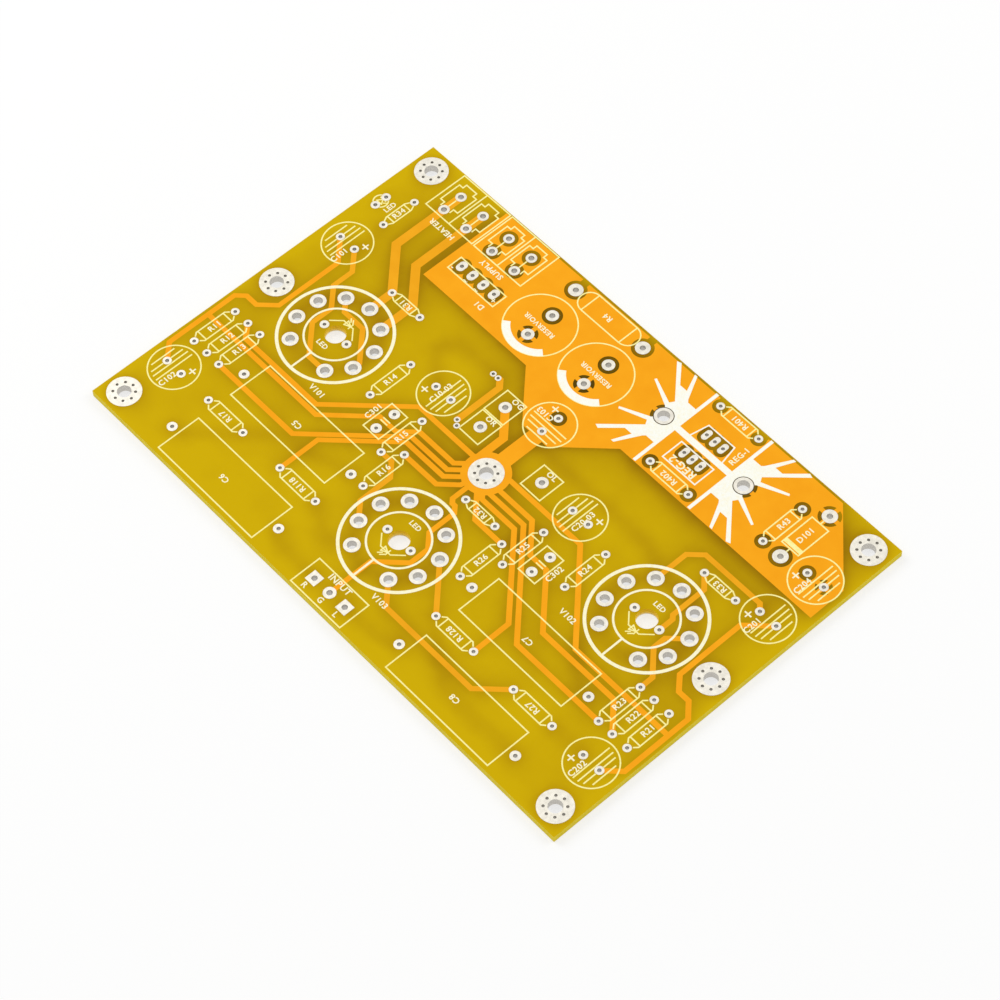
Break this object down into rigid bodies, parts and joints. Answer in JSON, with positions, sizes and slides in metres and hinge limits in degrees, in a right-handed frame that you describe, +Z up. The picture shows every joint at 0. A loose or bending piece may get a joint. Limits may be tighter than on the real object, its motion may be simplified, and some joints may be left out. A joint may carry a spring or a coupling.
{
  "type": "amplifier circuit board",
  "caption": "Bare yellow printed circuit board for a stereo valve amplifier, with poured copper, star ground tracks, tinned lands, valve socket circles and a white legend.",
  "frame": {"origin": "under the middle of the board, on the plane of the lower lands", "axes": "+X along the long side towards the right channel, +Y along the short side towards the supply, +Z up out of the printed face"},
  "size_m": [0.1524, 0.1016, 0.0021],
  "materials": {
    "mask": "gloss",
    "copper": "gloss",
    "tin": "satin",
    "ink": "matte"
  },
  "bodies": {
    "root": {"board": "mask", "ground_copper": "copper", "heater_copper": "copper", "signal_copper": "copper", "mounting_lands": "tin", "valve_lands": "tin", "lamp_lands": "tin", "resistor_lands": "tin", "power_resistor_lands": "tin", "can_lands": "tin", "reservoir_lands": "tin", "film_lands": "tin", "disc_lands": "tin", "terminal_lands": "tin", "bridge_lands": "tin", "regulator_lands": "tin", "sink_lands": "tin", "diode_lands": "tin", "indicator_lands": "tin", "input_lands": "tin", "output_lands": "tin", "link_vias": "tin", "valve_legend": "ink", "resistor_legend": "ink", "power_resistor_legend": "ink", "can_legend": "ink", "reservoir_legend": "ink", "film_legend": "ink", "disc_legend": "ink", "terminal_legend": "ink", "bridge_legend": "ink", "sink_legend": "ink", "diode_legend": "ink", "indicator_legend": "ink", "input_legend": "ink", "output_legend": "ink"}
  },
  "joints": []
}
